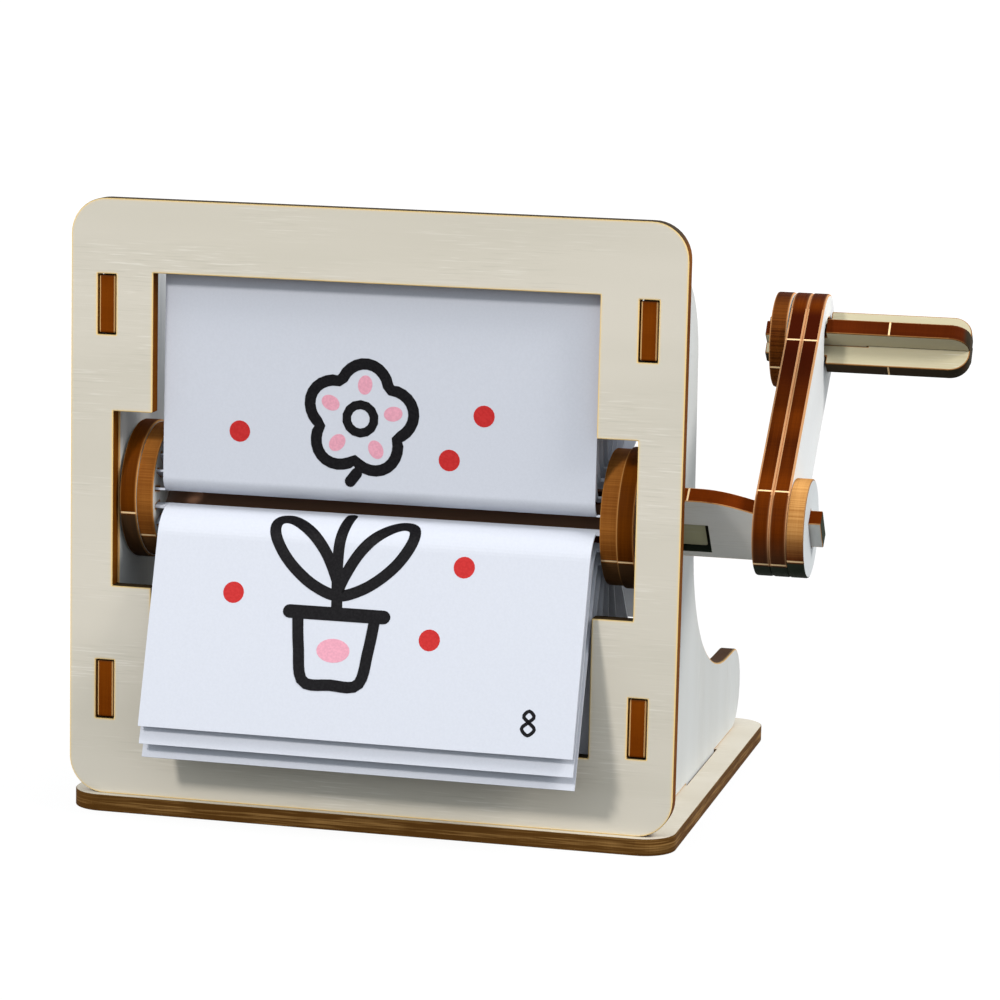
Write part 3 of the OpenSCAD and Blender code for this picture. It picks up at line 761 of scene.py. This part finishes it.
def drawUpperHalf(mesh, place, number, low):
    middle = bloomPlace(number)
    lean = math.radians(flower["lean"]) * swing(number)
    outline = []
    for k in range(51):
        a = 2 * math.pi * k / 50
        r = flower["bloomRadius"] + flower["petal"] * abs(math.cos(2.5 * a))
        outline.append(middle + r * Vector((math.sin(a + lean), math.cos(a + lean))))
    inkLine(mesh, place, outline, ink["line"], closed=True)
    angles = [a / 10 * 2 * math.pi for a in range(11)]
    eye = [middle + flower["eye"] * Vector((math.sin(a), math.cos(a))) for a in angles]
    inkLine(mesh, place, eye, ink["line"] * 0.8, closed=True)
    for k in range(5):
        a = 2 * math.pi * k / 5 + lean
        inkSpot(mesh, place, middle + flower["spotRing"] * Vector((math.sin(a), math.cos(a))),
                *flower["spot"], "pink", -math.degrees(a))
    foot = middle - Vector((0.25 * (middle[0] - flower["x"]), flower["bloomRadius"] + 2.2 * mm))
    root = Vector((flower["x"] + 0.3 * mm, low + ink["line"] / 2))
    inkLine(mesh, place, [foot, root], ink["line"], layer=1, fine=True)
    redDots(mesh, place, number, flower["upperDots"])


def drawLowerHalf(mesh, place, number):
    x, top, foot = flower["x"], flower["potTop"], flower["potFoot"]
    lift = 0.8 * mm * swing(number)
    inkLine(mesh, place, [(x + 0.3 * mm, -0.6 * mm), (x - 0.7 * mm, -8 * mm), (x, top)], ink["line"],
            fine=True)
    for layer, side in ((1, -1), (2, 1)):
        outline = [(x + side * out * mm, up * mm + lift * sway) for out, up, sway in flower["leaf"]]
        inkLine(mesh, place, outline, ink["line"], closed=True, layer=layer, fine=True)
    inkLine(mesh, place, [(x - 8.5 * mm, top), (x, top), (x + 8.5 * mm, top)], ink["line"] * 1.2, layer=3)
    inkLine(mesh, place, [(x - 7 * mm, top), (x - 6.3 * mm, (top + foot) / 2), (x - 5 * mm, foot),
                          (x, foot - 0.4 * mm), (x + 5 * mm, foot), (x + 6.3 * mm, (top + foot) / 2),
                          (x + 7 * mm, top)], ink["line"], layer=4)
    inkSpot(mesh, place, Vector((x, (top + foot) / 2 - 0.4 * mm)), *flower["potSpot"], "pink")
    redDots(mesh, place, number, flower["lowerDots"])
    label = str(number)
    for k, digit in enumerate(label):
        corner = pageNumber["corner"] - Vector((pageNumber["pitch"] * (len(label) - 1 - k), 0))
        inkLine(mesh, place, [corner + Vector(p) * pageNumber["height"] for p in digitShapes[digit]],
                ink["fineLine"], closed=digit in "08")


def makeCardLeaf(i):
    half, free = cards["width"] / 2, cards["free"]
    bendLength = min(cardBend(i)[2], free - 1 * mm)
    bends, flats, count = cards["bendSteps"], cards["flatSteps"], cards["columns"]
    stations = [bendLength * k / bends for k in range(bends + 1)]
    stations += [bendLength + (free - bendLength) * k / flats for k in range(1, flats + 1)]
    columns = [-half + 2 * half * k / count for k in range(count + 1)]
    t = cards["thickness"] / 2
    mesh = bmesh.new()
    addGrid(mesh, [([onCard(i, x, s, t) for x in columns], [onCard(i, x, s, -t) for x in columns])
                   for s in stations], 0)
    number = (cards["firstFrame"] + i - 1) % cards["count"] + 1

    def onFront(point, lift):
        return onCard(i, point[0], point[1], t + lift)

    def onBack(point, lift):
        return onCard(i, point[0], -point[1], -t - lift)

    drawUpperHalf(mesh, onFront, number, bendLength + 0.2 * mm)
    drawLowerHalf(mesh, onBack, number % cards["count"] + 1)
    bmesh.ops.recalc_face_normals(mesh, faces=mesh.faces)
    leaf = meshObject(f"cardLeaf{i + 1:02d}", mesh)
    for material in cardMaterials:
        leaf.data.materials.append(material)
    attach(leaf, "frame")   # a leaf keeps its bend while the drum turns on by whole cards
    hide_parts(f"flip_card_{i + 1:02d}")


def makeCardRoot(i):
    t, half = cards["thickness"] / 2, cards["width"] / 2
    inner, straight = cards["rootRadius"], cards["rootRadius"] + cards["rootStraight"]
    end, ear = cards["earEnd"], cards["earReach"]
    notch = half + cards["earGap"]
    outline = [(-end, inner), (end, inner), (end, ear), (notch, ear), (notch, straight),
               (-notch, straight), (-notch, ear), (-end, ear)]
    ahead = towards(cardAngle(i))
    mesh = bmesh.new()
    sides = []
    for lift in (t, -t):
        sides.append([mesh.verts.new(Vector((x + cards["play"],
                                             axle["y"] + ahead[0] * r - ahead[1] * lift,
                                             axle["z"] + ahead[1] * r + ahead[0] * lift)))
                      for x, r in outline])
    mesh.faces.new(sides[0])
    mesh.faces.new(reversed(sides[1]))
    for k in range(len(outline)):
        j = (k + 1) % len(outline)
        mesh.faces.new((sides[0][j], sides[0][k], sides[1][k], sides[1][j]))
    bmesh.ops.recalc_face_normals(mesh, faces=mesh.faces)
    ears = meshObject(f"cardEars{i + 1:02d}", mesh)
    ears.data.materials.append(cardMaterials[0])
    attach(ears, "drum")


paper = {"pale": rgb(199, 202, 211), "dark": rgb(196, 199, 208), "fibres": 2400.0, "bump": 0.08,
         "relief": 0.02 * mm, "roughness": 0.5, "specular": 0.25}


def makePaper():
    material, tree, shader = newMaterial("cardPaper")
    fibres = noise(tree, textureSpace(tree, "Object"), paper["fibres"], 3.0, 0.6)
    feed(tree, shader.inputs["Base Color"], mixColor(
        tree, ramp(tree, fibres, 0.3, 0.7), paper["dark"], paper["pale"]))
    bump = tree.nodes.new("ShaderNodeBump")
    bump.inputs["Strength"].default_value = paper["bump"]
    bump.inputs["Distance"].default_value = paper["relief"]
    feed(tree, bump.inputs["Height"], fibres)
    feed(tree, shader.inputs["Normal"], bump.outputs[0])
    shader.inputs["Roughness"].default_value = paper["roughness"]
    shader.inputs["Specular IOR Level"].default_value = paper["specular"]
    return material


def makeInk(name, color):
    material, tree, shader = newMaterial(name)
    speckle = noise(tree, textureSpace(tree, "Object"), ink["speckle"], 2.0, 0.5)
    lighter = tuple(min(1, c * 1.12 + 0.004) for c in color[:3]) + (1.0,)
    feed(tree, shader.inputs["Base Color"], mixColor(tree, ramp(tree, speckle, 0.35, 0.7), color, lighter))
    shader.inputs["Roughness"].default_value = ink["roughness"]
    shader.inputs["Specular IOR Level"].default_value = ink["specular"]
    return material


cardMaterials = [
    makePaper(),
    makeInk("blackInk", rgb(15, 14, 17)),
    makeInk("pinkInk", rgb(212, 150, 166)),
    makeInk("redInk", rgb(182, 42, 42)),
]
for index in range(cards["count"]):
    makeCardLeaf(index)
    makeCardRoot(index)
print("stage: cards")


studio = {
    "aim": (0, 0, 0.055),
    "keyPlace": (-0.587, -1.068, 0.875),
    "keySize": 0.2,
    "keyPower": 12.2,
    "fillPlace": (0.95, -0.3, 0.95),
    "fillSize": 0.4,
    "fillPower": 10.5,
    "backPlace": (0.45, 1.15, 0.85),
    "backSize": 0.6,
    "backPower": 6.0,
    "world": 0.95,
    "skyColor": (0.86, 0.94, 1.0, 1.0),
    "lampColor": (1.0, 0.965, 0.93),
    "floor": 0.12,             # how bright the floor is to the object, and to the camera
    "floorSeen": 0.65,
    "glowShare": 0.9,
    "glowFrom": 0.25,
    "glowTo": 0.9,
    "glowNear": 1.03,
    "glowFar": 1.13,
    "floorDrop": 0.05 * mm,
    "floorSize": 60.0,
}
view = {
    "sensor": 36,
    "lens": 3.659013 * 36,
    "place": (167.640 * mm, -652.667 * mm, 162.550 * mm),
    "azimuth": 13.4435,
    "elevation": 9.3281,
    "roll": 1.3224,
}


def seenDirectly(tree):
    # 1 where the camera or a mirror image looks, 0 where light is gathered
    path = tree.nodes.new("ShaderNodeLightPath").outputs
    return mathNode(tree, "MAXIMUM", path["Is Camera Ray"],
                    mathNode(tree, "MAXIMUM", path["Is Glossy Ray"], path["Is Transmission Ray"]))


def makeFloor():
    size = studio["floorSize"] / 2
    mesh = bmesh.new()
    bmesh.ops.create_grid(mesh, x_segments=1, y_segments=1, size=size)
    floor = meshObject("floor", mesh)
    floor.location = (0, 0, -studio["floorDrop"])
    material = bpy.data.materials.new("studioFloor")
    material.use_nodes = True
    tree = material.node_tree
    tree.nodes.clear()
    diffuse = tree.nodes.new("ShaderNodeBsdfDiffuse")
    glow = tree.nodes.new("ShaderNodeEmission")
    glow.inputs["Color"].default_value = (1, 1, 1, 1)
    # pale beside the object, so that its shadow shows, and plain white farther out
    away = vectorNode(tree, "LENGTH", textureSpace(tree, "Object"))
    feed(tree, glow.inputs["Strength"], ramp(tree, away, studio["glowFrom"], studio["glowTo"],
                                             studio["glowNear"], studio["glowFar"]))
    seen = seenDirectly(tree)
    mix = tree.nodes.new("ShaderNodeMixShader")
    feed(tree, diffuse.inputs["Color"], ramp(tree, seen, 0.0, 1.0, studio["floor"],
                                           studio["floorSeen"]))
    feed(tree, mix.inputs[0], mathNode(tree, "MULTIPLY", seen, studio["glowShare"]))
    feed(tree, mix.inputs[1], diffuse.outputs[0])
    feed(tree, mix.inputs[2], glow.outputs[0])
    feed(tree, tree.nodes.new("ShaderNodeOutputMaterial").inputs["Surface"], mix.outputs[0])
    floor.data.materials.append(material)


def makeWorld():
    world = bpy.data.worlds.new("studio")
    bpy.context.scene.world = world
    world.use_nodes = True
    tree = world.node_tree
    tree.nodes.clear()
    seen = seenDirectly(tree)
    soft = tree.nodes.new("ShaderNodeBackground")
    soft.inputs["Color"].default_value = studio["skyColor"]
    soft.inputs["Strength"].default_value = studio["world"]
    white = tree.nodes.new("ShaderNodeBackground")
    white.inputs["Color"].default_value = (1, 1, 1, 1)
    white.inputs["Strength"].default_value = 1.0
    mix = tree.nodes.new("ShaderNodeMixShader")
    feed(tree, mix.inputs[0], seen)
    feed(tree, mix.inputs[1], soft.outputs[0])
    feed(tree, mix.inputs[2], white.outputs[0])
    feed(tree, tree.nodes.new("ShaderNodeOutputWorld").inputs["Surface"], mix.outputs[0])


def makeLamp(name, place, size, power):
    lamp = bpy.data.lights.new(name, "AREA")
    lamp.shape = "DISK"
    lamp.size = size
    lamp.energy = power
    lamp.color = studio["lampColor"]
    holder = addObject(name, lamp)
    holder.location = place
    holder.rotation_mode = "QUATERNION"
    holder.rotation_quaternion = (Vector(studio["aim"]) - Vector(place)).to_track_quat("-Z", "Y")


def makeCamera():
    a, e, roll = (math.radians(view[k]) for k in ("azimuth", "elevation", "roll"))
    back = Vector((math.sin(a) * math.cos(e), -math.cos(a) * math.cos(e), math.sin(e)))
    right = (-back).cross(Vector((0, 0, 1))).normalized()
    up = right.cross(-back)
    across = right * math.cos(roll) + up * math.sin(roll)
    above = up * math.cos(roll) - right * math.sin(roll)
    lens = bpy.data.cameras.new("camera")
    lens.sensor_width = view["sensor"]
    lens.lens = view["lens"]
    lens.clip_start, lens.clip_end = 0.01, 20
    camera = addObject("camera", lens)
    facing = Matrix((across, above, back)).transposed().to_4x4()
    camera.matrix_world = Matrix.Translation(view["place"]) @ facing
    bpy.context.scene.camera = camera


makeFloor()
makeWorld()
makeLamp("keyLamp", studio["keyPlace"], studio["keySize"], studio["keyPower"])
makeLamp("fillLamp", studio["fillPlace"], studio["fillSize"], studio["fillPower"])
makeLamp("backLamp", studio["backPlace"], studio["backSize"], studio["backPower"])
makeCamera()
bpy.context.scene.view_settings.view_transform = "Standard"
print("stage: studio")
